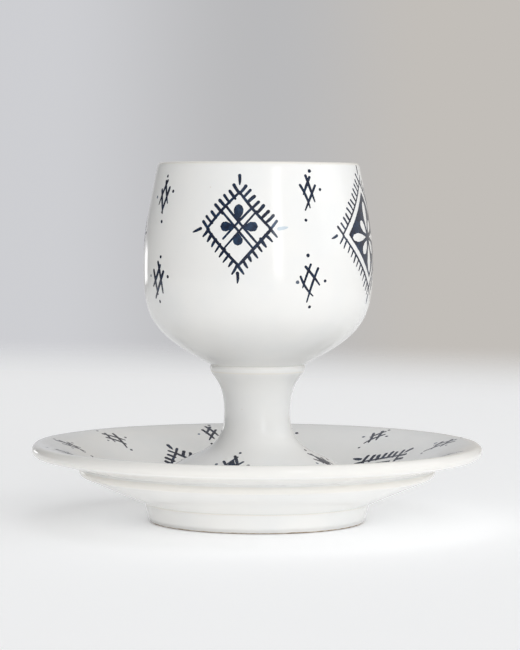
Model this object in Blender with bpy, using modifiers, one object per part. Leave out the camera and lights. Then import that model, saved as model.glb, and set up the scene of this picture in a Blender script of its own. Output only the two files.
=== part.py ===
"""A stemmed drinking cup of white glazed pottery, standing loose in the well of its own saucer.

Every piece is thrown on a wheel, so every piece is an outline turned about the Z axis.
The saucer's foot ring stands on z = 0. Lengths are in metres, +Z is up.
"""

import math

import bpy

MM = 0.001

# The bowl of the cup
BOWL_HEIGHT = 63.3 * MM
RIM_DIAMETER = 63.8 * MM
RIM_LEAN = 10.0
RIM_WALL = 3.0 * MM
BELLY_DIAMETER = 72.5 * MM
BELLY_HEIGHT = 30.8 * MM
BOWL_WALL = 3.8 * MM
BOWL_FLOOR = 5.0 * MM
UNDERSIDE_SLOPE = 24.0

# The bead of slip between bowl and stem
COLLAR_DIAMETER = 30.0 * MM
COLLAR_THICKNESS = 1.9 * MM
COLLAR_EDGE = 0.6 * MM

# The stem with its flared foot
STEM_HEIGHT = 35.7 * MM
NECK_INSET = 0.3 * MM
NECK_SLOPE = 62.0
WAIST_DIAMETER = 20.8 * MM
WAIST_HEIGHT = 22.4 * MM
FOOT_DIAMETER = 62.0 * MM
FOOT_EDGE = 3.4 * MM
FOOT_SLOPE = 44.0
FOOT_RIM = 5.5 * MM
STEM_WALL = 4.8 * MM
STEM_CAP = 5.0 * MM
BORE_LENGTH = 2.7 * MM
HOLLOW_SLOPE = 26.0

# The dish of the saucer
SAUCER_DIAMETER = 142.0 * MM
SAUCER_HEIGHT = 24.9 * MM
LIP_THICKNESS = 4.4 * MM
LIP_SLOPE = 10.0
FLANGE_WIDTH = 14.8 * MM
FLANGE_SLOPE = 13.0
STEP_BEAD = 1.6 * MM
STEP_GROOVE = 60.0
STEP_DROP = 4.2 * MM
DISH_FLOOR = 4.7 * MM

# The ring that the saucer stands on
RING_HEIGHT = 6.0 * MM
RING_WIDTH = 5.0 * MM
RING_TAPER = 1.6 * MM
RING_EDGE = 0.6 * MM

# Clearances between the pieces
JOINT_GAP = 0.3 * MM
SEAT_GAP = 0.3 * MM
FOOT_CLEARANCE = 5.0 * MM
RING_SETBACK = 0.4 * MM
BASE_MARGIN = 0.8 * MM

# How far a curve keeps to its heading at an end, as a share of its length
BOWL_BOTTOM_REACH = 0.58
BOWL_INSIDE_REACH = 0.48
BELLY_RISE_REACH = 0.37
RIM_REACH = 0.25
BELLY_FALL_REACH = 0.375
UNDERSIDE_REACH = 0.59
NECK_REACH = 0.18
WAIST_RISE_REACH = 0.7
WAIST_FALL_REACH = 0.493
FOOT_REACH = 0.485
HOLLOW_MOUTH_REACH = 0.42
BORE_REACH = 0.35
WELL_REACH = 0.24
LIP_REACH = 0.5

# How finely the outlines are drawn
TURN_STEPS = 40
CURVE_STEPS = 9
ARC_STEPS = 5
MERGE_DISTANCE = 0.01 * MM

GLAZE_ROUGHNESS = 0.12
WHITE_GLAZE = (0.86, 0.855, 0.83, 1.0)
CREAM_GLAZE = (0.84, 0.82, 0.77, 1.0)


def heading(degrees):
    """A direction in an outline: 0 points away from the axis, 90 points up."""
    angle = math.radians(degrees)
    return math.cos(angle), math.sin(angle)


def arc(centre, radius, first, last):
    """Points on a circle, from one direction to another."""
    points = []
    for i in range(ARC_STEPS + 1):
        across, up = heading(first + (last - first) * i / ARC_STEPS)
        points.append((centre[0] + radius * across, centre[1] + radius * up))
    return points


def sweep(start, leaving, leave_reach, end, arriving, arrive_reach):
    """A smooth curve between two points, that keeps to each end's heading for a share of its length.

    The points lie strictly between the two ends.
    """
    length = math.dist(start, end)
    out = heading(leaving)
    into = heading(arriving)
    points = []
    for i in range(1, CURVE_STEPS):
        t = i / CURVE_STEPS
        s = 1.0 - t
        point = []
        for axis in (0, 1):
            handle_a = start[axis] + out[axis] * leave_reach * length
            handle_b = end[axis] - into[axis] * arrive_reach * length
            point.append(s ** 3 * start[axis] + 3 * s * s * t * handle_a
                         + 3 * s * t * t * handle_b + t ** 3 * end[axis])
        points.append(tuple(point))
    return points


def height_on(outline, radius):
    """Height at a radius of an outline that starts at the axis and runs outwards."""
    for inner, outer in zip(outline, outline[1:]):
        if inner[0] <= radius <= outer[0]:
            share = (radius - inner[0]) / (outer[0] - inner[0])
            return inner[1] + share * (outer[1] - inner[1])
    raise ValueError("the outline does not reach that radius")


def bowl_outline():
    """From the middle of the inside up to the rim, down the outside and in along the flat seat."""
    belly = BELLY_DIAMETER / 2
    rim_round = RIM_WALL / 2
    rim_centre = (RIM_DIAMETER / 2 - rim_round, BOWL_HEIGHT - rim_round)
    lip = arc(rim_centre, rim_round, 180 + RIM_LEAN, RIM_LEAN)
    bottom = (0.0, BOWL_FLOOR)
    inner_belly = (belly - BOWL_WALL, BELLY_HEIGHT)
    outer_belly = (belly, BELLY_HEIGHT)
    seat_edge = (COLLAR_DIAMETER / 2 - NECK_INSET, 0.0)
    return [
        bottom,
        *sweep(bottom, 0, BOWL_BOTTOM_REACH, inner_belly, 90, BOWL_INSIDE_REACH),
        inner_belly,
        *sweep(inner_belly, 90, BELLY_RISE_REACH, lip[0], 90 + RIM_LEAN, RIM_REACH),
        *lip,
        *sweep(lip[-1], RIM_LEAN - 90, RIM_REACH, outer_belly, -90, BELLY_RISE_REACH),
        outer_belly,
        *sweep(outer_belly, -90, BELLY_FALL_REACH, seat_edge, 180 + UNDERSIDE_SLOPE, UNDERSIDE_REACH),
        seat_edge,
        (0.0, 0.0),
    ]


def collar_outline():
    """A flat disc with rounded edges."""
    rounding = COLLAR_DIAMETER / 2 - COLLAR_EDGE
    return [
        (0.0, COLLAR_THICKNESS),
        *arc((rounding, COLLAR_THICKNESS - COLLAR_EDGE), COLLAR_EDGE, 90, 0),
        *arc((rounding, COLLAR_EDGE), COLLAR_EDGE, 0, -90),
        (0.0, 0.0),
    ]


def stem_outline():
    """From the top down the outside to the foot, then up the hollow inside."""
    neck = (COLLAR_DIAMETER / 2 - NECK_INSET, STEM_HEIGHT)
    waist = (WAIST_DIAMETER / 2, WAIST_HEIGHT)
    edge_round = FOOT_EDGE / 2
    foot_edge = arc((FOOT_DIAMETER / 2 - edge_round, edge_round), edge_round, 90 - FOOT_SLOPE, -90)
    hollow_mouth = (FOOT_DIAMETER / 2 - FOOT_RIM, 0.0)
    bore = WAIST_DIAMETER / 2 - STEM_WALL
    dome_centre = (0.0, STEM_HEIGHT - STEM_CAP - bore)
    bore_start = (bore, dome_centre[1] - BORE_LENGTH)
    return [
        (0.0, STEM_HEIGHT),
        neck,
        *sweep(neck, NECK_SLOPE - 180, NECK_REACH, waist, -90, WAIST_RISE_REACH),
        waist,
        *sweep(waist, -90, WAIST_FALL_REACH, foot_edge[0], -FOOT_SLOPE, FOOT_REACH),
        *foot_edge,
        hollow_mouth,
        *sweep(hollow_mouth, 180 - HOLLOW_SLOPE, HOLLOW_MOUTH_REACH, bore_start, 90, BORE_REACH),
        bore_start,
        *arc(dome_centre, bore, 0, 90),
    ]


def well_radius():
    """The flat of the well takes the cup's foot with room to spare."""
    return FOOT_DIAMETER / 2 + FOOT_CLEARANCE


def ring_radius():
    """The foot ring stands under the edge of the well."""
    return well_radius() - RING_SETBACK


def dish_base():
    """Height of the dish's flat underside above the table."""
    return RING_HEIGHT + JOINT_GAP


def dish_outline():
    """From the middle of the well out to the lip, then back under the lip to the flat base."""
    height = SAUCER_HEIGHT - dish_base()
    lip_round = LIP_THICKNESS / 2
    lip_centre = (SAUCER_DIAMETER / 2 - lip_round, height - lip_round)
    lip = arc(lip_centre, lip_round, 90 + LIP_SLOPE, FLANGE_SLOPE - 90)
    well_edge = (well_radius(), DISH_FLOOR)
    base_edge = (ring_radius() + BASE_MARGIN, 0.0)
    inside = [
        (0.0, DISH_FLOOR),
        well_edge,
        *sweep(well_edge, 0, WELL_REACH, lip[0], LIP_SLOPE, LIP_REACH),
        *lip,
    ]
    step_radius = SAUCER_DIAMETER / 2 - FLANGE_WIDTH - STEP_BEAD
    step_centre = (step_radius, height_on(inside, step_radius) - STEP_DROP)
    fall = math.degrees(math.atan2(step_centre[1] - base_edge[1], step_centre[0] - base_edge[0]))
    step = arc(step_centre, STEP_BEAD, STEP_GROOVE, fall - 90)
    return [*inside, *step, base_edge, (0.0, 0.0)]


def ring_outline():
    """Round the section of the ring, down its outer side first."""
    top = ring_radius()
    bottom = top - RING_TAPER
    inside = top - RING_WIDTH
    outer_edge = arc((bottom - RING_EDGE, RING_EDGE), RING_EDGE, 0, -90)
    inner_edge = arc((inside + RING_EDGE, RING_EDGE), RING_EDGE, -90, -180)
    return [(top, RING_HEIGHT), *outer_edge, *inner_edge, (inside, RING_HEIGHT)]


def glazed_clay(name, colour):
    """A shiny fired glaze over clay."""
    material = bpy.data.materials.new(name)
    material.use_nodes = True
    shader = material.node_tree.nodes["Principled BSDF"]
    shader.inputs["Base Color"].default_value = colour
    shader.inputs["Roughness"].default_value = GLAZE_ROUGHNESS
    shader.inputs["Metallic"].default_value = 0.0
    return material


def turned(name, outline, colour, collection, closed=False):
    """A named piece, made by turning its outline about the Z axis."""
    count = len(outline)
    edges = [(i, i + 1) for i in range(count - 1)]
    if closed:
        edges.append((count - 1, 0))
    mesh = bpy.data.meshes.new(name)
    mesh.from_pydata([(r, 0.0, z) for r, z in outline], edges, [])
    mesh.materials.append(glazed_clay(name + "_glaze", colour))
    piece = bpy.data.objects.new(name, mesh)
    collection.objects.link(piece)
    wheel = piece.modifiers.new("wheel", 'SCREW')
    wheel.axis = 'Z'
    wheel.angle = math.tau
    wheel.steps = TURN_STEPS
    wheel.render_steps = TURN_STEPS
    wheel.use_merge_vertices = True
    wheel.merge_threshold = MERGE_DISTANCE
    wheel.use_smooth_shade = True
    return piece


def build_saucer(collection):
    """The dish on its foot ring."""
    turned("saucer_foot_ring", ring_outline(), CREAM_GLAZE, collection, closed=True)
    dish = turned("saucer_dish", dish_outline(), WHITE_GLAZE, collection)
    dish.location.z = dish_base()


def build_cup(collection):
    """The stem, collar and bowl, carried by an empty on the line that the cup lifts along."""
    lift = bpy.data.objects.new("cup_lift_axis", None)
    collection.objects.link(lift)
    lift.location.z = dish_base() + DISH_FLOOR + SEAT_GAP
    stem = turned("cup_stem", stem_outline(), WHITE_GLAZE, collection)
    collar = turned("joint_collar", collar_outline(), CREAM_GLAZE, collection)
    collar.location.z = STEM_HEIGHT + JOINT_GAP
    bowl = turned("cup_bowl", bowl_outline(), WHITE_GLAZE, collection)
    bowl.location.z = collar.location.z + COLLAR_THICKNESS + JOINT_GAP
    for piece in (stem, collar, bowl):
        piece.parent = lift


def build():
    """Clear the scene, then make the saucer and the cup that stands in it."""
    for old in list(bpy.data.objects):
        bpy.data.objects.remove(old, do_unlink=True)
    collection = bpy.data.collections.new("kiddush_cup_with_saucer")
    bpy.context.scene.collection.children.link(collection)
    build_saucer(collection)
    build_cup(collection)


build()
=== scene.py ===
"""The looks of a white glazed stemmed cup on its saucer, brush-painted in blue-black.

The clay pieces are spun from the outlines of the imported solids. The brushwork is laid on the glaze as a thin
film of pigment, stroke by stroke. Places are in metres with +Z up; angles run from the front, -Y, towards +X.
"""

import math
import random

import bmesh
import bpy
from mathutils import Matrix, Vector, geometry


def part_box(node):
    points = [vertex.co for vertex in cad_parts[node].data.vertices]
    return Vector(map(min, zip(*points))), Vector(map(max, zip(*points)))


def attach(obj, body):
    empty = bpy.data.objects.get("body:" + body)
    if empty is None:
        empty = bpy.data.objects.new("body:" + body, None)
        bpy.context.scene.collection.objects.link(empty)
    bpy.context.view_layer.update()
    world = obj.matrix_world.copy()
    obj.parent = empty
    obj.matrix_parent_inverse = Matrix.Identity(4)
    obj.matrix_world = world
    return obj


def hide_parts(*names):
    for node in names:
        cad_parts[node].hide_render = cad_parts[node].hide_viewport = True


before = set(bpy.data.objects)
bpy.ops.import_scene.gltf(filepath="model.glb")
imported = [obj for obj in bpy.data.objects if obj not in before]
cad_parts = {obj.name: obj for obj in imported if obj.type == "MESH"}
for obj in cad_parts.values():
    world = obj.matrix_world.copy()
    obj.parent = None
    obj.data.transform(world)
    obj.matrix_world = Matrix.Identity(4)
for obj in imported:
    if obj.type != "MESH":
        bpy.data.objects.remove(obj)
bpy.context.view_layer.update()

bl_info = {
    "name": "Painted Cup and Saucer",
    "version": (1, 0, 0),
    "blender": (4, 5, 0),
    "location": "3D View > Sidebar > Cup",
    "description": "Throws, glazes and paints a stemmed cup and its saucer",
    "category": "Object",
}

MM = 0.001

# How the clay is thrown
WELD = 0.01 * MM
WHEEL_STEPS = 72
SMOOTHING = 2
LONG_RUN = 6.0 * MM
SUPPORT = 0.7 * MM
SMOOTH_ANGLE = math.radians(40)
TIGHT_EDGE = 2.2 * MM
WALL_WAVE = 26 * MM
JOINT_LAP = 0.4 * MM
RING_LAP = 0.6 * MM
SEAM = 0.05 * MM
BARE_EDGE = (0.8 * MM, 0.65 * MM)

# How the brush is drawn, with lengths in millimetres
STROKE_STEP = 0.45
FILL_STEP = 0.9
POINT_GAP = 1e-4
CAP_STEPS = 4
DOT_STEPS = 12
DOT_RADIUS = 0.52
# Painted highlight: the next three numbers fade the ink to pale round one place on the front lozenge, where a
# glare on the glaze washes it out: the fade's reach, the least load it leaves, and its place
GLARE_FADE_REACH = 5.0
GLARE_FADE_LEAST = 0.12
GLARE_FADE_PLACE = (13.0, 0.0)
FILM_ANGLE = math.radians(35)
LEAN_UP = math.radians(50)
LEAN_DOWN = math.radians(55)

# A lattice mark in halves of its width and height, as drawn in five ways: its strokes from head to tail,
# its dots and its inside
LATTICE_STROKES = (
    (((-0.35, 1.62), (1.4, -0.73)), ((0.58, 1.44), (-1.1, -0.2)),
     ((-1.74, 0.75), (0.24, -1.43)), ((1.66, 0.66), (-0.97, -1.65))),
    (((-0.75, 1.19), (2.3, -0.66)), ((0.32, 1.34), (-1.35, -0.81)),
     ((-1.76, 0.22), (0.93, -1.55)), ((2.05, 0.95), (-0.25, -2.13))),
    (((-0.46, 1.36), (1.62, -0.75)), ((0.39, 1.36), (-1.74, -0.81)),
     ((-1.57, 0.5), (0.37, -1.7)), ((1.58, 0.74), (-0.17, -1.64))),
    (((0.34, 1.57), (1.83, -1.3)), ((1.17, 1.18), (-1.91, -0.71)),
     ((-1.55, 0.71), (-0.05, -1.47)), ((2.28, 0.59), (-1.32, -1.83))),
    (((-0.5, 1.5), (1.27, -0.7)), ((0.17, 1.3), (-1.2, -0.25)),
     ((-1.67, 0.6), (0.33, -1.5)), ((1.27, 0.6), (-0.5, -1.67))),
)
LATTICE_DOTS = (
    ((0.69, 2.04), (2.95, 0.32), (-0.89, -2.46), (-3.0, -0.35)),
    ((-0.25, 2.2), (3.7, -0.14), (0.47, -2.55), (-2.63, -0.28)),
    ((0.07, 1.87), (3.03, 0.35), (0.4, -2.54), (-3.37, -0.21)),
    ((1.36, 1.98), (3.72, 0.18), (0.31, -2.12), (-3.08, 0.2)),
    ((0.2, 2.0), (2.5, 0.0), (-0.47, -2.5), (-2.6, 0.0)),
)
DOT_LOADS = (0.95, 0.95, 0.95, 0.5)
LATTICE_FIELD = ((-0.13, 0.82), (0.83, -0.23), (0.01, -1.15), (-0.92, -0.25))

# Where the hand set the marks: angles from the front in degrees, then heights on the bowl and distances from
# the axis on the rim and the foot in millimetres; on the bowl also each way, with its boldness and its dots
BOWL_MARKS = (
    (26.8, 103.2, 0), (117.0, 103.2, 1), (207.0, 103.2, 0), (301.3, 102.3, 2),
    (25.4, 77.2, 1), (117.5, 76.4, 0), (207.5, 76.4, 1), (301.4, 76.75, 3),
)
BOWL_BOLD = (0.92, 0.92, 1.15, 1.15)
BOWL_DOTS = (3, 4, 4, 4)
RIM_MARKS = (
    (15.5, 60), (50.0, 60), (72.5, 60), (105.5, 61.9), (139.1, 60), (172.0, 60),
    (195.3, 60), (232.2, 60), (260.0, 60), (284.0, 60), (318.5, 60), (347.0, 60),
)
FOOT_TURN = -20.2
FOOT_REACH = 22.4

# The stage: the table in metres, the backdrop as sideways parts of a direction, the camera in degrees
TABLE_RADIUS = 1.3
TABLE_MIDDLE = (-0.25, 0, 0)
TABLE_FADE = (1.05, 0.6)
BACKDROP_EDGES = (-0.085, 0.07)
SIDE_WALL_EDGES = (-0.2, -0.5)
CAMERA_ASIDE = 0.56 * MM
CAMERA_DOWN = 2.875
CAMERA_ROLL = -0.25


# Settings that a user may change


def colour_setting(name, description, default, most=1):
    """A colour, or the colour of a light."""
    return bpy.props.FloatVectorProperty(name=name, description=description, subtype='COLOR', size=3,
                                         min=0, max=most, default=default)


def float_setting(name, description, default, unit='LENGTH'):
    """A length, or another value with a unit."""
    return bpy.props.FloatProperty(name=name, description=description, unit=unit, min=0, default=default)


class CUP_PG_glaze(bpy.types.PropertyGroup):
    """The fired glaze and the clay under it"""

    white: colour_setting("White", "Glaze of ordinary thickness", (0.86, 0.858, 0.845))
    pooled: colour_setting("Pooled", "Glaze that has run together thickly", (0.80, 0.815, 0.82))
    thin: colour_setting("Thin", "Glaze that has drawn away from a tight edge", (0.80, 0.755, 0.67))
    clay: colour_setting("Bare clay", "Unglazed clay where the pieces stand", (0.52, 0.37, 0.22))
    roughness: bpy.props.FloatProperty(
        name="Roughness", description="Roughness of the glaze where it is shiniest",
        subtype='FACTOR', min=0, max=1, default=0.1)
    unevenness: float_setting("Unevenness", "How far the hand-thrown walls waver", 0.22 * MM)


class CUP_PG_brush(bpy.types.PropertyGroup):
    """The painted ornament"""

    ink: colour_setting("Ink", "Pigment where the brush was full", (0.008, 0.0085, 0.022))
    # The wash and faint colours are partly the brush's own load and partly a painted highlight, the pale ink
    # where a glare washes out the front lozenge's right corner
    wash: colour_setting("Wash", "Pigment where the brush ran dry", (0.026, 0.078, 0.165))
    faint: colour_setting("Faint", "Pigment where the brush hardly marked the glaze", (0.56, 0.64, 0.71))
    film: float_setting("Film", "How far the pigment stands on the glaze", 0.03 * MM)
    line: float_setting("Line", "Width of a brush line", 0.85 * MM)
    tick: float_setting("Tick", "Length of the fringe's strokes", 2.7 * MM)
    open_width: float_setting("Open lozenge width", "From corner to corner", 19.8 * MM)
    open_height: float_setting("Open lozenge height", "From corner to corner", 22.4 * MM)
    filled_width: float_setting("Filled lozenge width", "From corner to corner", 32.0 * MM)
    filled_height: float_setting("Filled lozenge height", "From corner to corner", 33.0 * MM)
    saucer_lozenge: float_setting("Saucer lozenge", "From corner to corner", 20.0 * MM)
    mark_width: float_setting("Mark width", "Width of a mark's small lozenge", 3.0 * MM)
    mark_height: float_setting("Mark height", "Height of a mark's small lozenge", 6.6 * MM)


class CUP_PG_stage(bpy.types.PropertyGroup):
    """Camera, floor and lamps"""

    lens: bpy.props.FloatProperty(
        name="Lens", description="Focal length on a 36 mm frame", unit='CAMERA', min=1, default=140.0)
    distance: float_setting("Distance", "Camera to the cup's axis", 0.793)
    height: float_setting("Height", "Camera above the table", 0.1015)
    floor: colour_setting("Floor", "Colour of the table", (0.92, 0.922, 0.925))
    glow: colour_setting("Floor glow", "What the camera sees of the table over its lit colour",
                         (0.19, 0.194, 0.202))
    backdrop_left: colour_setting("Backdrop left", "Colour of the far background on the left",
                                  (0.615, 0.62, 0.645))
    backdrop_middle: colour_setting("Backdrop middle", "Colour of the far background in the middle",
                                    (0.49, 0.49, 0.50))
    backdrop_right: colour_setting("Backdrop right", "Colour of the far background on the right",
                                   (0.54, 0.515, 0.485))
    side_wall: colour_setting("Side wall", "What the glaze mirrors of the room on the left",
                              (0.16, 0.16, 0.165))
    strip: float_setting("Strip lamp", "Power of the tall lamp whose glare runs down the bowl", 2.0, 'POWER')
    window: float_setting("Window", "Power of the wide lamp at the right", 1.7, 'POWER')
    top: float_setting("Top lamp", "Power of the wide lamp overhead", 3.4, 'POWER')
    edge: float_setting("Edge lamp", "Power of the lamp behind the left, whose glare lines the bowl's edge",
                        0.25, 'POWER')
    bounce: float_setting("Table bounce", "Power of the light that the bright table throws back up",
                          0.92, 'POWER')
    room: colour_setting("Room", "Soft light from all round", (0.28, 0.276, 0.27), 4)
    room_side: colour_setting("Side of the room", "Soft light from the front left", (0.12, 0.118, 0.115), 4)
    room_window: colour_setting("Window side of the room", "Soft light from above on the right",
                                (0.49, 0.496, 0.50), 4)
    room_front: colour_setting("Front of the room", "Soft low light from the front", (1.45, 1.455, 1.46), 4)


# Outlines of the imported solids


def outline_of(node):
    """The node's outline in the half plane y = 0, x > 0: points (radius, height), from its upper end."""
    solid = bmesh.new()
    solid.from_mesh(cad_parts[node].data)
    bmesh.ops.remove_doubles(solid, verts=solid.verts, dist=WELD)
    bmesh.ops.bisect_plane(solid, geom=[*solid.verts, *solid.edges, *solid.faces], dist=WELD,
                           plane_co=(0, 0, 0), plane_no=(1, 0, 0), clear_inner=True)
    cut = bmesh.ops.bisect_plane(solid, geom=[*solid.verts, *solid.edges, *solid.faces], dist=WELD,
                                 plane_co=(0, 0, 0), plane_no=(0, 1, 0))["geom_cut"]
    joined = {}
    for edge in cut:
        if isinstance(edge, bmesh.types.BMEdge):
            for here, there in (edge.verts, reversed(edge.verts)):
                joined.setdefault(here, []).append(there)
    ends = [vert for vert, others in joined.items() if len(others) == 1]
    first = max(ends or joined, key=lambda vert: (vert.co.z, vert.co.x))
    chain = [first]
    while True:
        onward = [vert for vert in joined[chain[-1]] if vert not in chain]
        if not onward:
            break
        chain.append(max(onward, key=lambda vert: vert.co.x))
    if not ends:
        chain.append(first)
    points = [(vert.co.x, vert.co.z) for vert in chain]
    solid.free()
    return without_straights(points)


def without_straights(points):
    """The outline without the points that only divide a straight run."""
    kept = [points[0]]
    for here, there in zip(points[1:], points[2:]):
        back = kept[-1]
        run = math.dist(back, there)
        off = (there[0] - back[0]) * (here[1] - back[1]) - (there[1] - back[1]) * (here[0] - back[0])
        if run > 0 and abs(off) / run > WELD / 10:
            kept.append(here)
    return [*kept, points[-1]]


def with_support(points):
    """The outline with a point near each end of its long straight runs, so that they stay straight."""
    held = [points[0]]
    for here, there in zip(points, points[1:]):
        run = math.dist(here, there)
        if run > LONG_RUN:
            held.extend(between(here, there, share) for share in (SUPPORT / run, 1 - SUPPORT / run))
        held.append(there)
    return held


def moved_seat(points, old, new):
    """The outline with its points at one height moved to another."""
    return [(r, new if abs(z - old) < WELD else z) for r, z in points]


def lapped_stem(points, collar_low):
    """The stem's outline with its top edge run up behind the collar, so that the neck flows into it."""
    edge = points[1][0]
    lap = collar_low + JOINT_LAP
    return [(0, lap), (edge + 0.10 * MM, lap), (edge + 0.13 * MM, collar_low + SEAM), *points[1:]]


def lapped_collar(low, high, radius):
    """The collar as a soft bead: it runs up into the bowl, and its lower side turns in to the neck."""
    top, bottom = high + JOINT_LAP, low - JOINT_LAP
    bead = ((0.45, top), (0.2, high), (0.03, high - JOINT_LAP), (0, (low + high) / 2),
            (0.07, low + JOINT_LAP), (0.26, low - SEAM), (0.5, bottom))
    return [(0, top), *[(radius - inset * MM, height) for inset, height in bead], (0, bottom)]


def closed_on_ring(points, ring_top):
    """The dish's outline with the cone under it run on down to the top of its foot ring."""
    wide, edge = points[-3], points[-2]
    foot = between(wide, edge, (wide[1] - ring_top) / (wide[1] - edge[1]))
    return [*points[:-2], foot, (0, ring_top)]


# Throwing the clay


def apply_modifier(piece, kind, **settings):
    """Add a modifier with these settings and apply it."""
    modifier = piece.modifiers.new(kind.title(), kind)
    for name, value in settings.items():
        setattr(modifier, name, value)
    bpy.context.view_layer.objects.active = piece
    bpy.ops.object.modifier_apply(modifier=modifier.name)


def spun(name, points):
    """Draw an outline by extruding a point along it, and spin it about the Z axis."""
    bpy.ops.object.select_all(action='DESELECT')
    bpy.ops.mesh.primitive_plane_add(size=MM, location=(0, 0, 0))
    piece = bpy.context.object
    piece.name = name
    piece.data.name = name
    bpy.ops.object.mode_set(mode='EDIT')
    bpy.ops.mesh.merge(type='CENTER')
    bpy.ops.transform.translate(value=(points[0][0], 0, points[0][1]))
    for here, there in zip(points, points[1:]):
        step = (there[0] - here[0], 0, there[1] - here[1])
        bpy.ops.mesh.extrude_vertices_move(TRANSFORM_OT_translate={"value": step})
    bpy.ops.mesh.select_all(action='SELECT')
    bpy.ops.mesh.spin(steps=WHEEL_STEPS, angle=math.tau, center=(0, 0, 0), axis=(0, 0, 1))
    bpy.ops.mesh.select_all(action='SELECT')
    bpy.ops.mesh.remove_doubles(threshold=WELD)
    bpy.ops.mesh.normals_make_consistent(inside=False)
    bpy.ops.object.mode_set(mode='OBJECT')
    return piece


def uneven_wall():
    """Slow waves, as the potter's fingers leave them."""
    texture = bpy.data.textures.get("uneven_wall")
    if texture is None:
        texture = bpy.data.textures.new("uneven_wall", 'CLOUDS')
        texture.noise_scale = WALL_WAVE
        texture.noise_depth = 1
    return texture


def mark_edges(piece):
    """Write how tightly the surface bends out at each point, where glaze draws thin."""
    skin = bmesh.new()
    skin.from_mesh(piece.data)
    bends = []
    for vert in skin.verts:
        total = 0.0
        for edge in vert.link_edges:
            away = vert.co - edge.other_vert(vert).co
            total += 2 * vert.normal.dot(away) / max(away.length_squared, 1e-12)
        bends.append(min(1.0, max(0.0, total / len(vert.link_edges) * TIGHT_EDGE)))
    skin.free()
    layer = piece.data.attributes.new("tight_edge", 'FLOAT', 'POINT')
    layer.data.foreach_set("value", bends)


def thrown(name, points, body, node, material):
    """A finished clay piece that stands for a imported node."""
    piece = spun(name, with_support(points))
    apply_modifier(piece, 'SUBSURF', levels=SMOOTHING, render_levels=SMOOTHING)
    apply_modifier(piece, 'DISPLACE', texture=uneven_wall(), mid_level=1.0,
                   strength=bpy.context.scene.cup_glaze.unevenness)
    piece.select_set(True)
    bpy.ops.object.shade_smooth_by_angle(angle=SMOOTH_ANGLE)
    mark_edges(piece)
    piece.data.materials.clear()
    piece.data.materials.append(material)
    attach(piece, body)
    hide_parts(node)


# Glaze, clay and pigment


def add_node(tree, kind, links=None, **settings):
    """A node with its settings; links gives its inputs as sockets to link, as values or as colours."""
    node = tree.nodes.new(kind)
    for name, value in settings.items():
        setattr(node, name, value)
    for name, value in (links or {}).items():
        socket = node.inputs[name]
        if isinstance(value, bpy.types.NodeSocket):
            tree.links.new(value, socket)
        else:
            socket.default_value = (*value, 1.0) if socket.type == 'RGBA' else value
    return node


def ramp(tree, factor, low, high, top=1.0):
    """A smooth step of a value, from 0 at low to top at high."""
    return add_node(tree, "ShaderNodeMapRange", {
        "Value": factor, "From Min": low, "From Max": high, "To Min": 0.0, "To Max": top,
    }, interpolation_type='SMOOTHSTEP').outputs["Result"]


def math_node(tree, operation, first, second):
    """One sum of two values."""
    return add_node(tree, "ShaderNodeMath", {0: first, 1: second}, operation=operation).outputs[0]


def mix_colour(tree, factor, first, second, blend='MIX'):
    """Blend two colours."""
    return add_node(tree, "ShaderNodeMix", {0: factor, 6: first, 7: second},
                    data_type='RGBA', blend_type=blend).outputs[2]


def looked_at(tree):
    """1 where the camera, a reflection or a view through glass sees the surface, and 0 for its light."""
    rays = add_node(tree, "ShaderNodeLightPath").outputs
    looks = math_node(tree, 'MAXIMUM', rays["Is Camera Ray"], rays["Is Glossy Ray"])
    return math_node(tree, 'MAXIMUM', looks, rays["Is Transmission Ray"])


def glaze_flow_group():
    """How the glaze lies: clouds of thickness, a faint ripple with throwing rings, and pinholes."""
    group = bpy.data.node_groups.get("glaze_flow")
    if group is not None:
        return group
    group = bpy.data.node_groups.new("glaze_flow", 'ShaderNodeTree')
    for name in ("Outward", "Upward", "Cloud Scale"):
        group.interface.new_socket(name, in_out='INPUT', socket_type='NodeSocketFloat')
    for name in ("Cloud", "Ripple", "Pinholes"):
        group.interface.new_socket(name, in_out='OUTPUT', socket_type='NodeSocketFloat')
    given = group.nodes.new("NodeGroupInput").outputs
    out = group.nodes.new("NodeGroupOutput").inputs
    place = add_node(group, "ShaderNodeTexCoord").outputs["Object"]
    axes = add_node(group, "ShaderNodeSeparateXYZ", {"Vector": place}).outputs
    flat = add_node(group, "ShaderNodeVectorMath", {0: place, 1: (1, 1, 0)}, operation='MULTIPLY')
    radius = add_node(group, "ShaderNodeVectorMath", {0: flat.outputs[0]},
                      operation='LENGTH').outputs["Value"]
    along = math_node(group, 'ADD', math_node(group, 'MULTIPLY', radius, given["Outward"]),
                      math_node(group, 'MULTIPLY', axes["Z"], given["Upward"]))
    wheel = add_node(group, "ShaderNodeCombineXYZ", {"X": along, "Y": axes["X"], "Z": axes["Y"]}).outputs[0]
    rings = add_node(group, "ShaderNodeTexWave", {
        "Vector": wheel, "Scale": 105.0, "Distortion": 2.5, "Detail": 2.0, "Detail Scale": 0.4,
    }, bands_direction='X').outputs["Fac"]
    peel = add_node(group, "ShaderNodeTexNoise", {
        "Vector": place, "Scale": 420.0, "Detail": 1.0}).outputs["Fac"]
    cloud = add_node(group, "ShaderNodeTexNoise", {
        "Vector": place, "Scale": given["Cloud Scale"], "Detail": 3.0, "Roughness": 0.55}).outputs["Fac"]
    cells = add_node(group, "ShaderNodeTexVoronoi", {"Vector": place, "Scale": 210.0})
    chosen = add_node(group, "ShaderNodeSeparateColor", {"Color": cells.outputs["Color"]}).outputs["Red"]
    spot = ramp(group, cells.outputs["Distance"], 0.055, 0.03)
    rare = ramp(group, chosen, 0.90, 0.92)
    group.links.new(ramp(group, cloud, 0.38, 0.68), out["Cloud"])
    group.links.new(math_node(group, 'ADD', rings, peel), out["Ripple"])
    group.links.new(math_node(group, 'MULTIPLY', spot, rare), out["Pinholes"])
    return group


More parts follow.
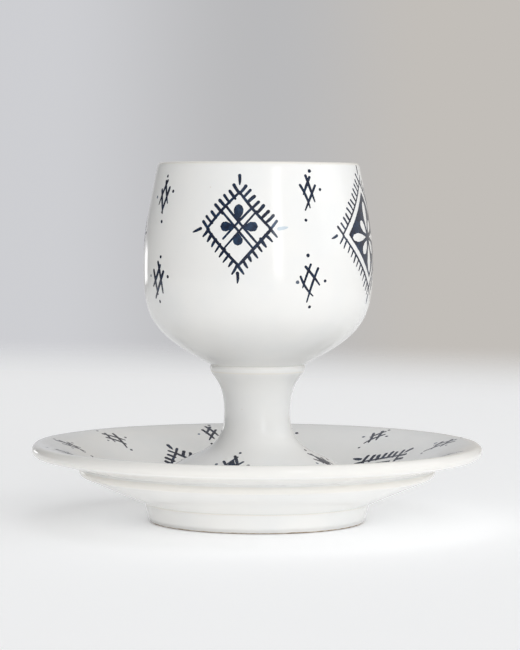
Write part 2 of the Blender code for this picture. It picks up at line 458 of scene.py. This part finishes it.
def new_material(name, outward, upward, cloud_scale):
    """A material with its shader and the glaze's flow, whose rings follow the radius, the height or both."""
    material = bpy.data.materials.new(name)
    material.use_nodes = True
    tree = material.node_tree
    shader = tree.nodes["Principled BSDF"]
    flow = add_node(tree, "ShaderNodeGroup", node_tree=glaze_flow_group())
    for socket, value in zip(flow.inputs, (outward, upward, cloud_scale)):
        socket.default_value = value
    bump = add_node(tree, "ShaderNodeBump", {
        "Height": flow.outputs["Ripple"], "Strength": 0.3, "Distance": 0.007 * MM})
    tree.links.new(bump.outputs["Normal"], shader.inputs["Normal"])
    return material, tree, shader, flow


def glaze_material(name, outward=0.0, upward=1.0, bare_below=None, thinning=0.55):
    """White glaze, warm where it thins over an edge, and wiped off below a height where the piece stands."""
    glaze = bpy.context.scene.cup_glaze
    material, tree, shader, flow = new_material(name, outward, upward, 55.0)
    tight = add_node(tree, "ShaderNodeAttribute", attribute_name="tight_edge").outputs["Fac"]
    colour = mix_colour(tree, math_node(tree, 'MULTIPLY', flow.outputs["Cloud"], 0.45),
                        glaze.white, glaze.pooled)
    colour = mix_colour(tree, ramp(tree, tight, 0.25, 1.0, thinning), colour, glaze.thin)
    colour = mix_colour(tree, math_node(tree, 'MULTIPLY', flow.outputs["Pinholes"], 0.3),
                        colour, glaze.clay)
    rough = math_node(tree, 'ADD', math_node(tree, 'MULTIPLY', flow.outputs["Cloud"], 0.06),
                      glaze.roughness)
    if bare_below is not None:
        place = add_node(tree, "ShaderNodeTexCoord").outputs["Object"]
        height = add_node(tree, "ShaderNodeSeparateXYZ", {"Vector": place}).outputs["Z"]
        grain = add_node(tree, "ShaderNodeTexNoise", {
            "Vector": place, "Scale": 300.0, "Detail": 4.0}).outputs["Fac"]
        glazed, wiped = BARE_EDGE
        ragged = math_node(tree, 'ADD', height, math_node(tree, 'MULTIPLY', grain, glazed))
        bare = ramp(tree, ragged, bare_below + glazed, bare_below + wiped)
        dark = tuple(0.72 * part for part in glaze.clay)
        clay = mix_colour(tree, ramp(tree, grain, 0.35, 0.65), dark, glaze.clay)
        colour = mix_colour(tree, bare, colour, clay)
        rough = math_node(tree, 'ADD', rough, math_node(tree, 'MULTIPLY', bare, 0.7))
    tree.links.new(colour, shader.inputs["Base Color"])
    tree.links.new(rough, shader.inputs["Roughness"])
    return material


def pigment_material():
    """Blue-black brush colour under the shine of the glaze, paler where the brush ran dry, and pale and faint
    where a painted glare washes out the ink on the front lozenge.
    """
    brush = bpy.context.scene.cup_brush
    material = bpy.data.materials.get("brush_pigment")
    if material is not None:
        return material
    material, tree, shader, _ = new_material("brush_pigment", 0.0, 1.0, 90.0)
    load = add_node(tree, "ShaderNodeAttribute", attribute_name="load").outputs["Fac"]
    place = add_node(tree, "ShaderNodeTexCoord").outputs["Object"]
    pools = add_node(tree, "ShaderNodeTexNoise", {
        "Vector": place, "Scale": 620.0, "Detail": 4.0, "Roughness": 0.6}).outputs["Fac"]
    wash = ramp(tree, pools, 0.36, 0.66)
    # A low load is partly a dry brush and partly the painted glare on the front lozenge
    dry = math_node(tree, 'SUBTRACT', 1.15, load)
    pale = math_node(tree, 'MULTIPLY', dry, math_node(tree, 'ADD', wash, 0.25))
    colour = mix_colour(tree, pale, brush.ink, brush.wash)
    colour = mix_colour(tree, ramp(tree, load, 0.6, 0.22), colour, brush.faint)
    rough = math_node(tree, 'ADD', math_node(tree, 'MULTIPLY', wash, 0.05),
                      bpy.context.scene.cup_glaze.roughness)
    tree.links.new(colour, shader.inputs["Base Color"])
    tree.links.new(rough, shader.inputs["Roughness"])
    return material


# Brush motifs, drawn flat in millimetres: x to the right, y up


class Motif:
    """The shapes of one painted motif, in the order in which the brush lays them."""

    def __init__(self, seed, glare_fade_at=None):
        self.hand = random.Random(seed)
        self.shapes = []
        # The place where a painted glare fades the ink, or None
        self.glare_fade_at = glare_fade_at

    def near(self, point, spread=0.12):
        """A point as an unruled hand hits it."""
        return (point[0] + self.hand.gauss(0, spread), point[1] + self.hand.gauss(0, spread))

    def lay(self, points, load, reserve=False):
        """Add a filled shape; a reserve is wiped out of what lies under it."""
        self.shapes.append((points, load, reserve))

    def stroke(self, start, end, width, head=1.0, tail=0.55):
        """A brush stroke with round ends, that is wide at its head and thins to its tail."""
        start, end = self.near(start), self.near(end)
        length = math.dist(start, end)
        along = ((end[0] - start[0]) / length, (end[1] - start[1]) / length)
        across = (-along[1], along[0])
        bow = self.hand.gauss(0, 0.02) * length
        width *= 1 + self.hand.gauss(0, 0.09)
        steps = max(4, round(length / STROKE_STEP))
        left, right = [], []
        for i in range(steps + 1):
            t = i / steps
            if t < 0.5:
                full = head + (1 - head) * min(1, t / 0.3)
            else:
                full = 1 + (tail - 1) * ((t - 0.5) / 0.5) ** 1.5
            half = width / 2 * full * (1 + self.hand.gauss(0, 0.035))
            side = bow * 4 * t * (1 - t)
            x = start[0] + along[0] * length * t + across[0] * side
            y = start[1] + along[1] * length * t + across[1] * side
            left.append((x + across[0] * half, y + across[1] * half))
            right.append((x - across[0] * half, y - across[1] * half))
        front = self.cap(left[-1], right[-1])
        back = self.cap(right[0], left[0])
        load = 0.98 - abs(self.hand.gauss(0, 0.1))
        # Painted highlight: strokes near the glare's place lose load, so they go pale and faint as if a glare
        # washed them out
        if self.glare_fade_at is not None:
            away = math.dist(between(start, end, 0.5), self.glare_fade_at)
            load *= min(1, GLARE_FADE_LEAST + (1 - GLARE_FADE_LEAST) * away / GLARE_FADE_REACH)
        self.lay([*reversed(left), *back[::-1], *right, *front[::-1]], load)

    @staticmethod
    def cap(first, last):
        """The round end of a stroke, from its left side to its right."""
        middle = ((first[0] + last[0]) / 2, (first[1] + last[1]) / 2)
        radius = math.dist(first, last) / 2
        turn = math.atan2(first[1] - middle[1], first[0] - middle[0])
        angles = [turn - math.pi * i / CAP_STEPS for i in range(1, CAP_STEPS)]
        return [(middle[0] + radius * math.cos(a), middle[1] + radius * math.sin(a)) for a in angles]

    def turn(self, angle):
        """Turn all that is laid so far about the motif's middle."""
        c, s = math.cos(angle), math.sin(angle)
        self.shapes = [([(c * x - s * y, s * x + c * y) for x, y in points], load, reserve)
                       for points, load, reserve in self.shapes]

    def dot(self, centre, radius, load):
        """A touch of the brush's point."""
        centre = self.near(centre)
        radius *= 1 + self.hand.gauss(0, 0.1)
        points = []
        for i in range(DOT_STEPS):
            angle = math.tau * i / DOT_STEPS
            reach = radius * (1 + self.hand.gauss(0, 0.06))
            points.append((centre[0] + reach * math.cos(angle), centre[1] + reach * math.sin(angle)))
        self.lay(points, load)

    def petal(self, tip, end, width, load, reserve=False):
        """A drop that is pointed at its tip and round at its end."""
        tip, end = self.near(tip), self.near(end)
        length = math.dist(tip, end)
        along = ((end[0] - tip[0]) / length, (end[1] - tip[1]) / length)
        widest = 0.62
        side = []
        for i in range(1, 10):
            t = i / 10
            if t < widest:
                half = math.sin(math.pi / 2 * t / widest) ** 1.15
            else:
                half = math.sqrt(1 - ((t - widest) / (1 - widest)) ** 2)
            side.append((length * t, width / 2 * half * (1 + self.hand.gauss(0, 0.04))))
        outline = [(0.0, 0.0), *[(a, -b) for a, b in side], (length, 0.0), *[(a, b) for a, b in side[::-1]]]
        self.lay([(tip[0] + along[0] * a - along[1] * b, tip[1] + along[1] * a + along[0] * b)
                  for a, b in outline], load, reserve)

    def area(self, corners, load):
        """A field filled to wavering straight sides; its corners run clockwise, as those of a lozenge do."""
        points = []
        for here, there in sides(corners[::-1]):
            steps = max(2, round(math.dist(here, there) / (2 * STROKE_STEP)))
            points.extend(self.near(between(here, there, i / steps), 0.06) for i in range(steps))
        self.lay(points, load)


def corners_of(width, height):
    """Top, right, bottom and left of a lozenge."""
    return [(0, height / 2), (width / 2, 0), (0, -height / 2), (-width / 2, 0)]


def sides(corners):
    """The sides of a closed shape, each from corner to corner."""
    return zip(corners, [*corners[1:], corners[0]])


def between(first, second, share):
    """A point part of the way from one to another."""
    return (first[0] + (second[0] - first[0]) * share, first[1] + (second[1] - first[1]) * share)


def out_from(start, direction, reach):
    """The point at a distance from a start in a direction."""
    return (start[0] + direction[0] * reach, start[1] + direction[1] * reach)


def fringed_outline(motif, width, height, line, tick, count, overrun=0.25):
    """A lozenge's four sides, each with a comb of strokes standing out from it."""
    for here, there in sides(corners_of(width, height)):
        motif.stroke(here, there, line, head=0.95, tail=0.9)
        steep = LEAN_UP if here[1] + there[1] > 0 else -LEAN_DOWN
        lean = steep if here[0] + there[0] > 0 else math.pi - steep
        out = (math.cos(lean), math.sin(lean))
        for i in range(count):
            foot = between(here, there, 0.015 + 0.97 * i / (count - 1))
            reach = tick * (1 + motif.hand.gauss(0, 0.09))
            inside = max(0.0, motif.hand.gauss(0.1, overrun))
            tip, root = out_from(foot, out, reach), out_from(foot, out, -inside)
            if steep > 0:
                motif.stroke(tip, root, line * 1.12, head=1.08, tail=0.85)
            else:
                motif.stroke(root, tip, line * 1.05, head=1.0, tail=0.6)


def corner_ticks(motif, width, height, line, tick):
    """One loose stroke beyond each corner."""
    gap = 0.85 * tick
    for corner, drop in zip(corners_of(width, height), (0.0, 0.15, 0.0, -0.4)):
        size = math.hypot(*corner)
        out = (corner[0] / size, corner[1] / size)
        start = out_from(corner, out, gap)
        end = (start[0] + out[0] * tick, start[1] + out[1] * tick + drop * tick)
        if out[1] > 0.5:
            start, end = end, start
        motif.stroke(start, end, line * 1.2, head=1.1, tail=0.45)


def open_lozenge(motif, brush):
    """A fringed lozenge with crossed double lines and four dark petals."""
    width, height = brush.open_width / MM, brush.open_height / MM
    line, tick = brush.line / MM, brush.tick / MM
    fringed_outline(motif, width, height, line, tick, 8)
    corner_ticks(motif, width, height, line, tick)
    top, right, bottom, left = corners_of(width, height)
    lift = 0.03
    for near_side, far_side, short, rise in (((left, top), (bottom, right), 0.0, lift),
                                             ((top, right), (left, bottom), 0.13, -lift)):
        for share in (0.43, 0.57):
            start = between(*near_side, share + rise)
            end = between(*far_side, share + rise)
            cut = short if share < 0.5 else 0.0
            motif.stroke(start, between(end, start, cut), line * 0.84, head=1.0, tail=0.85)
    middle = lift * height
    for toward, reach in (((0, 1), 7.0), ((1, 0), 5.7), ((0, -1), 5.8), ((-1, 0), 5.8)):
        tip = (toward[0] * 1.4, toward[1] * 1.6 + middle)
        end = (toward[0] * reach, toward[1] * reach + middle)
        motif.petal(tip, end, 2.95, load=0.74)


def filled_lozenge(motif, brush):
    """A fringed lozenge round a dark field, with a flower left white in it."""
    width, height = brush.filled_width / MM, brush.filled_height / MM
    line, tick = 0.8 * brush.line / MM, brush.tick / MM
    inner = 0.81
    middle = (0, -0.8)
    motif.area(corners_of(width * inner, height * inner), 0.84)
    for i in range(8):
        toward = (math.cos(math.pi / 4 * i), math.sin(math.pi / 4 * i))
        start, end, fat = (1.5, 7.2, 2.8) if i % 2 else (1.8, 11.2, 2.6 if i % 4 == 0 else 3.2)
        motif.petal(out_from(middle, toward, start), out_from(middle, toward, end), fat, 0.0, True)
    fringed_outline(motif, width, height, line, tick, 12, overrun=0.05)
    corner_ticks(motif, width, height, line, tick)


def saucer_lozenge(motif, brush):
    """A fringed lozenge with one cross of petals."""
    size = brush.saucer_lozenge / MM
    line, tick = 1.2 * brush.line / MM, brush.tick / MM
    fringed_outline(motif, size, size, line, tick, 7)
    corner_ticks(motif, size, size, line, tick)
    inner = 0.62
    for here, there in sides(corners_of(size * inner, size * inner)):
        motif.stroke(here, there, line * 0.8, tail=0.8)
    for i in range(4):
        toward = (math.cos(math.pi / 2 * i), math.sin(math.pi / 2 * i))
        motif.petal(out_from((0, 0), toward, 0.6), out_from((0, 0), toward, 4.6), 2.3, 0.66)


def lattice_mark(motif, brush, way, scale=1.0, wide=1.0, bold=1.0, dots=4, load=None):
    """A small lozenge whose sides run on past its corners in one of five ways, with dots; a load fills it."""
    half_width = scale * wide * brush.mark_width / MM / 2
    half_height = scale * brush.mark_height / MM / 2
    line = brush.line / MM * scale * bold

    def place(point):
        return (point[0] * half_width, point[1] * half_height)

    if load is not None:
        motif.area([place(corner) for corner in LATTICE_FIELD], load)
    for start, end in LATTICE_STROKES[way]:
        motif.stroke(place(start), place(end), line)
    for centre, full in zip(LATTICE_DOTS[way][:dots], DOT_LOADS):
        motif.dot(place(centre), DOT_RADIUS * scale, full)


# Laying the motifs on the glaze


class Path:
    """A run of an outline, that a motif's upward direction follows."""

    def __init__(self, points):
        self.points = points
        self.lengths = [0.0]
        for here, there in zip(points, points[1:]):
            self.lengths.append(self.lengths[-1] + math.dist(here, there))

    def at(self, length):
        """Radius and height at a length along the run."""
        for i in range(len(self.points) - 2):
            if length <= self.lengths[i + 1]:
                break
        share = (length - self.lengths[i]) / (self.lengths[i + 1] - self.lengths[i])
        return between(self.points[i], self.points[i + 1], share)

    def length_where(self, axis, value):
        """The length at which the radius (axis 0) or height (axis 1) has a value."""
        for i, (here, there) in enumerate(zip(self.points, self.points[1:])):
            low, high = sorted((here[axis], there[axis]))
            if low <= value <= high and high > low:
                share = (value - here[axis]) / (there[axis] - here[axis])
                return self.lengths[i] + share * (self.lengths[i + 1] - self.lengths[i])
        raise ValueError("the outline has no such place")


def filled(shapes):
    """One flat sheet of triangles that covers the shapes: its points, triangles and each point's load."""
    points = []
    faces = []
    for outline, _, _ in shapes:
        faces.append(list(range(len(points), len(points) + len(outline))))
        points.extend(Vector(point) for point in outline)
    low = [min(point[axis] for point in points) for axis in (0, 1)]
    high = [max(point[axis] for point in points) for axis in (0, 1)]
    for i in range(int((high[0] - low[0]) / FILL_STEP) + 1):
        for j in range(int((high[1] - low[1]) / FILL_STEP) + 1):
            offset = 0.5 * (j % 2)
            points.append(Vector((low[0] + (i + offset) * FILL_STEP, low[1] + j * FILL_STEP)))
    inside = 1
    points, _, triangles, _, _, owners = geometry.delaunay_2d_cdt(points, [], faces, inside, POINT_GAP)
    kept = []
    sums = {}
    for triangle, owned in zip(triangles, owners):
        load = 0.0
        for shape in sorted(set(owned)):
            _, laid, reserve = shapes[shape]
            load = 0.0 if reserve else load + (1 - load) * laid
        if load > 0:
            a, b, c = (points[i] for i in triangle)
            turn = (b - a).cross(c - a)
            kept.append(triangle if turn > 0 else triangle[::-1])
            for i in triangle:
                sums.setdefault(i, []).append(load)
    used = sorted(sums)
    number = {old: new for new, old in enumerate(used)}
    return ([points[i] for i in used], [[number[i] for i in triangle] for triangle in kept],
            [sum(sums[i]) / len(sums[i]) for i in used])


def painted(name, motifs, path, turn, clay, body):
    """Wrap motifs on a glazed piece as one film of pigment. Each has its shapes, its angle and its length."""
    points, triangles, loads = [], [], []
    for shapes, angle, length in motifs:
        flat, faces, load = filled(shapes)
        triangles.extend([i + len(points) for i in face] for face in faces)
        loads.extend(load)
        for x, y in flat:
            radius, height = path.at(length + y * MM)
            around = math.radians(angle) + turn * x * MM / radius
            points.append((radius * math.sin(around), -radius * math.cos(around), height))
    mesh = bpy.data.meshes.new(name)
    mesh.from_pydata(points, [], triangles)
    layer = mesh.attributes.new("load", 'FLOAT', 'POINT')
    layer.data.foreach_set("value", loads)
    mesh.materials.append(pigment_material())
    film = bpy.data.objects.new(name, mesh)
    bpy.context.collection.objects.link(film)
    bpy.ops.object.select_all(action='DESELECT')
    film.select_set(True)
    thickness = bpy.context.scene.cup_brush.film
    apply_modifier(film, 'SHRINKWRAP', target=bpy.data.objects[clay], wrap_method='TARGET_PROJECT',
                   wrap_mode='ABOVE_SURFACE', offset=thickness)
    apply_modifier(film, 'SOLIDIFY', thickness=2 * thickness, offset=-1.0)
    bpy.ops.object.shade_smooth_by_angle(angle=FILM_ANGLE)
    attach(film, body)


def outer_run(points):
    """The outside of a cup piece, from its lowest point up to its highest."""
    heights = [z for _, z in points]
    top = heights.index(max(heights))
    bottom = heights.index(min(heights))
    return Path(points[top:bottom + 1][::-1])


# Operators


class CUP_OT_throw_bowl(bpy.types.Operator):
    """Spin the bowl, with its seat closed down on the collar"""

    bl_idname = "cup.throw_bowl"
    bl_label = "Throw the bowl"

    def execute(self, context):
        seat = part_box("cup_bowl")[0].z
        points = moved_seat(outline_of("cup_bowl"), seat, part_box("joint_collar")[1].z)
        thrown("glazed_bowl", points, "cup", "cup_bowl", glaze_material("bowl_glaze"))
        return {'FINISHED'}


class CUP_OT_bed_collar(bpy.types.Operator):
    """Spin the bead of slip between bowl and stem"""

    bl_idname = "cup.bed_collar"
    bl_label = "Bed the collar"

    def execute(self, context):
        low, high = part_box("joint_collar")
        points = lapped_collar(low.z, high.z, high.x)
        thrown("slip_collar", points, "cup", "joint_collar",
               glaze_material("collar_glaze", thinning=0.12))
        return {'FINISHED'}


class CUP_OT_throw_stem(bpy.types.Operator):
    """Spin the hollow stem with its flared foot"""

    bl_idname = "cup.throw_stem"
    bl_label = "Throw the stem"

    def execute(self, context):
        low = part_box("cup_stem")[0]
        points = lapped_stem(outline_of("cup_stem"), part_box("joint_collar")[0].z)
        thrown("glazed_stem", points, "cup", "cup_stem",
               glaze_material("stem_glaze", 0.5, 1.0, low.z))
        return {'FINISHED'}


class CUP_OT_throw_dish(bpy.types.Operator):
    """Spin the saucer's dish, with its base closed down on the foot ring"""

    bl_idname = "cup.throw_dish"
    bl_label = "Throw the dish"

    def execute(self, context):
        points = closed_on_ring(outline_of("saucer_dish"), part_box("saucer_foot_ring")[1].z)
        thrown("glazed_dish", points, "saucer", "saucer_dish",
               glaze_material("dish_glaze", 1.0, 0.3))
        return {'FINISHED'}


class CUP_OT_turn_foot_ring(bpy.types.Operator):
    """Spin the ring that the saucer stands on"""

    bl_idname = "cup.turn_foot_ring"
    bl_label = "Turn the foot ring"

    def execute(self, context):
        low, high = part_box("saucer_foot_ring")
        points = moved_seat(outline_of("saucer_foot_ring"), high.z, high.z + RING_LAP)
        thrown("foot_ring", points, "saucer", "saucer_foot_ring",
               glaze_material("ring_glaze", 1.0, 1.0, low.z))
        return {'FINISHED'}


class CUP_OT_paint_lozenges(bpy.types.Operator):
    """Paint the four large lozenges round the bowl"""

    bl_idname = "cup.paint_lozenges"
    bl_label = "Paint the bowl's lozenges"

    def execute(self, context):
        path = outer_run(outline_of("cup_bowl"))
        motifs = []
        for seed, (draw, angle, height) in enumerate((
                (open_lozenge, -9.6, 92.3), (filled_lozenge, 72.5, 90.4),
                (open_lozenge, 161.0, 91.8), (filled_lozenge, 248.0, 90.4))):
            # The front lozenge carries the painted glare at its right corner
            motif = Motif(seed, GLARE_FADE_PLACE if seed == 0 else None)
            draw(motif, context.scene.cup_brush)
            motifs.append((motif.shapes, angle, path.length_where(1, height * MM)))
        painted("painted_lozenges", motifs, path, 1, "glazed_bowl", "cup")
        return {'FINISHED'}


class CUP_OT_paint_bowl_marks(bpy.types.Operator):
    """Paint the small lattice marks between the lozenges, one above the other"""

    bl_idname = "cup.paint_bowl_marks"
    bl_label = "Paint the bowl's marks"

    def execute(self, context):
        path = outer_run(outline_of("cup_bowl"))
        motifs = []
        for column, (angle, height, way) in enumerate(BOWL_MARKS):
            motif = Motif(seed=20 + column)
            lattice_mark(motif, context.scene.cup_brush, way, bold=BOWL_BOLD[way], dots=BOWL_DOTS[way])
            motifs.append((motif.shapes, angle, path.length_where(1, height * MM)))
        painted("painted_bowl_marks", motifs, path, 1, "glazed_bowl", "cup")
        return {'FINISHED'}


class CUP_OT_paint_foot_marks(bpy.types.Operator):
    """Paint the lattice marks on the flare of the cup's foot"""

    bl_idname = "cup.paint_foot_marks"
    bl_label = "Paint the foot's marks"

    def execute(self, context):
        path = outer_run(outline_of("cup_stem"))
        motifs = []
        for column in range(4):
            motif = Motif(seed=40 + column)
            lattice_mark(motif, context.scene.cup_brush, 4, scale=1.1, wide=1.3, load=0.9)
            motifs.append((motif.shapes, 90 * column + FOOT_TURN, path.length_where(0, FOOT_REACH * MM)))
        painted("painted_foot_marks", motifs, path, 1, "glazed_stem", "cup")
        return {'FINISHED'}


class CUP_OT_paint_saucer(bpy.types.Operator):
    """Paint the lozenges on the wall of the saucer's well and the marks round its rim"""

    bl_idname = "cup.paint_saucer"
    bl_label = "Paint the saucer"

    def execute(self, context):
        points = outline_of("saucer_dish")
        top = max(range(len(points)), key=lambda i: points[i][1])
        path = Path(points[:top + 1])
        brush = context.scene.cup_brush
        lozenges = []
        for column, (angle, lean, reach) in enumerate((
                (33, 5, 50), (121, -22, 52.2), (211.5, 8, 49.3), (301, -6, 50))):
            motif = Motif(seed=60 + column)
            saucer_lozenge(motif, brush)
            motif.turn(math.radians(lean))
            middle = path.length_where(0, reach * MM) - brush.saucer_lozenge / 2
            lozenges.append((motif.shapes, angle, middle))
        painted("painted_saucer_lozenges", lozenges, path, -1, "glazed_dish", "saucer")
        marks = []
        for column, (angle, reach) in enumerate(RIM_MARKS):
            motif = Motif(seed=80 + column)
            lattice_mark(motif, brush, column % 2, scale=0.95, bold=1.25)
            marks.append((motif.shapes, angle, path.length_where(0, reach * MM)))
        painted("painted_rim_marks", marks, path, -1, "glazed_dish", "saucer")
        return {'FINISHED'}


def area_lamp(name, place, target, size, power, colour):
    """A soft rectangular lamp that faces a point."""
    lamp = bpy.data.lights.new(name, 'AREA')
    lamp.shape = 'RECTANGLE'
    lamp.size, lamp.size_y = size
    lamp.energy = power
    lamp.color = colour
    stand = bpy.data.objects.new(name, lamp)
    bpy.context.collection.objects.link(stand)
    stand.location = place
    stand.rotation_euler = (Vector(target) - Vector(place)).to_track_quat('-Z', 'Y').to_euler()
    stand.visible_camera = False
    return stand


class CUP_OT_set_stage(bpy.types.Operator):
    """Set the table, the backdrop, the lamps and the camera"""

    bl_idname = "cup.set_stage"
    bl_label = "Set the stage"

    def execute(self, context):
        stage = context.scene.cup_stage
        self.lay_floor(stage)
        self.paint_world(context, stage)
        middle = (0, 0, 0.06)
        area_lamp("strip_lamp", (0.56, -1.50, 0.40), middle, (0.3, 0.95), stage.strip, (0.98, 0.99, 1.0))
        area_lamp("window_lamp", (1.35, -0.10, 0.58), middle, (1.0, 0.8), stage.window, (0.95, 0.975, 1.0))
        area_lamp("top_lamp", (0.25, -0.1, 1.5), middle, (1.4, 1.4), stage.top, (0.98, 0.99, 1.0))
        area_lamp("edge_lamp", (-0.75, 1.3, 0.05), middle, (0.3, 0.12), stage.edge, (1.0, 1.0, 1.0))
        bounce = area_lamp("table_bounce", (0.2, -0.1, 0.5 * MM), (0.2, -0.1, 1), (1.0, 1.0),
                           stage.bounce, (1.0, 0.99, 0.975))
        bounce.visible_glossy = False
        self.place_camera(context, stage)
        context.scene.view_settings.view_transform = 'Standard'
        return {'FINISHED'}

    @staticmethod
    def lay_floor(stage):
        """A round pale table that fades out into the backdrop."""
        bpy.ops.object.select_all(action='DESELECT')
        bpy.ops.mesh.primitive_circle_add(vertices=96, radius=TABLE_RADIUS, fill_type='NGON')
        floor = bpy.context.object
        floor.name = "floor"
        material = bpy.data.materials.new("table_cloth")
        material.use_nodes = True
        tree = material.node_tree
        shader = tree.nodes["Principled BSDF"]
        shader.inputs["Base Color"].default_value = (*stage.floor, 1.0)
        shader.inputs["Roughness"].default_value = 0.9
        shader.inputs["Specular IOR Level"].default_value = 0.1
        place = add_node(tree, "ShaderNodeTexCoord").outputs["Object"]
        away = add_node(tree, "ShaderNodeVectorMath", {0: place, 1: TABLE_MIDDLE},
                        operation='DISTANCE').outputs["Value"]
        tree.links.new(ramp(tree, away, *TABLE_FADE), shader.inputs["Alpha"])
        shader.inputs["Emission Color"].default_value = (*stage.glow, 1.0)
        tree.links.new(looked_at(tree), shader.inputs["Emission Strength"])
        floor.data.materials.append(material)

    @staticmethod
    def paint_world(context, stage):
        """Soft light, brightest at the front and on the window's side.

        The camera and the reflections see a plain grey backdrop; reflections on the left see a darker wall.
        """
        world = bpy.data.worlds.new("studio")
        context.scene.world = world
        world.use_nodes = True
        tree = world.node_tree
        light = tree.nodes["Background"]
        place = add_node(tree, "ShaderNodeTexCoord").outputs["Generated"]
        soft = stage.room
        for towards, low, high, bright in (((-0.5, -0.86, 0.0), -0.15, 0.95, stage.room_side),
                                           ((0.7, -0.4, 0.6), 0.2, 1.0, stage.room_window),
                                           ((0.14, -0.985, 0.05), 0.7, 1.0, stage.room_front)):
            facing = add_node(tree, "ShaderNodeVectorMath", {0: place, 1: towards},
                              operation='DOT_PRODUCT').outputs["Value"]
            soft = mix_colour(tree, ramp(tree, facing, low, high), soft, bright, 'ADD')
        tree.links.new(soft, light.inputs["Color"])
        across = add_node(tree, "ShaderNodeSeparateXYZ", {"Vector": place}).outputs["X"]
        left, right = BACKDROP_EDGES
        colour = mix_colour(tree, ramp(tree, across, left, 0.0),
                            stage.backdrop_left, stage.backdrop_middle)
        colour = mix_colour(tree, ramp(tree, across, 0.0, right), colour, stage.backdrop_right)
        glossy = add_node(tree, "ShaderNodeLightPath").outputs["Is Glossy Ray"]
        mirrored = math_node(tree, 'MULTIPLY', ramp(tree, across, *SIDE_WALL_EDGES), glossy)
        colour = mix_colour(tree, mirrored, colour, stage.side_wall)
        seen = add_node(tree, "ShaderNodeBackground", {"Color": colour, "Strength": 1.0})
        mix = add_node(tree, "ShaderNodeMixShader", {
            0: looked_at(tree), 1: light.outputs[0], 2: seen.outputs[0]})
        tree.links.new(mix.outputs[0], tree.nodes["World Output"].inputs["Surface"])

    @staticmethod
    def place_camera(context, stage):
        """A long lens a little below the height of the rim, that looks slightly down."""
        camera = bpy.data.cameras.new("camera")
        camera.lens = stage.lens
        camera.sensor_width = 36.0
        eye = bpy.data.objects.new("camera", camera)
        context.collection.objects.link(eye)
        eye.location = (CAMERA_ASIDE, -stage.distance, stage.height)
        eye.rotation_euler = (math.radians(90 - CAMERA_DOWN), math.radians(CAMERA_ROLL), 0)
        context.scene.camera = eye


class CUP_PT_bench(bpy.types.Panel):
    """The potter's steps and settings"""

    bl_label = "Cup and Saucer"
    bl_idname = "CUP_PT_bench"
    bl_space_type = 'VIEW_3D'
    bl_region_type = 'UI'
    bl_category = "Cup"

    def draw(self, context):
        for step in STEPS:
            self.layout.operator(step.bl_idname)
        for group, kind in SETTINGS.items():
            column = self.layout.column()
            for name in kind.__annotations__:
                column.prop(getattr(context.scene, group), name)


STEPS = (CUP_OT_throw_dish, CUP_OT_turn_foot_ring, CUP_OT_throw_stem, CUP_OT_bed_collar, CUP_OT_throw_bowl,
         CUP_OT_paint_lozenges, CUP_OT_paint_bowl_marks, CUP_OT_paint_foot_marks, CUP_OT_paint_saucer,
         CUP_OT_set_stage)
SETTINGS = {"cup_glaze": CUP_PG_glaze, "cup_brush": CUP_PG_brush, "cup_stage": CUP_PG_stage}
CLASSES = (*SETTINGS.values(), *STEPS, CUP_PT_bench)


def register():
    for cls in CLASSES:
        bpy.utils.register_class(cls)
    for group, kind in SETTINGS.items():
        setattr(bpy.types.Scene, group, bpy.props.PointerProperty(type=kind))


def unregister():
    for group in SETTINGS:
        delattr(bpy.types.Scene, group)
    for cls in reversed(CLASSES):
        bpy.utils.unregister_class(cls)


def main():
    """Make the cup, the saucer and the stage."""
    register()
    bpy.ops.cup.throw_dish()
    bpy.ops.cup.turn_foot_ring()
    bpy.ops.cup.throw_stem()
    bpy.ops.cup.bed_collar()
    bpy.ops.cup.throw_bowl()
    bpy.ops.cup.paint_lozenges()
    bpy.ops.cup.paint_bowl_marks()
    bpy.ops.cup.paint_foot_marks()
    bpy.ops.cup.paint_saucer()
    bpy.ops.cup.set_stage()


if __name__ == "__main__":
    main()
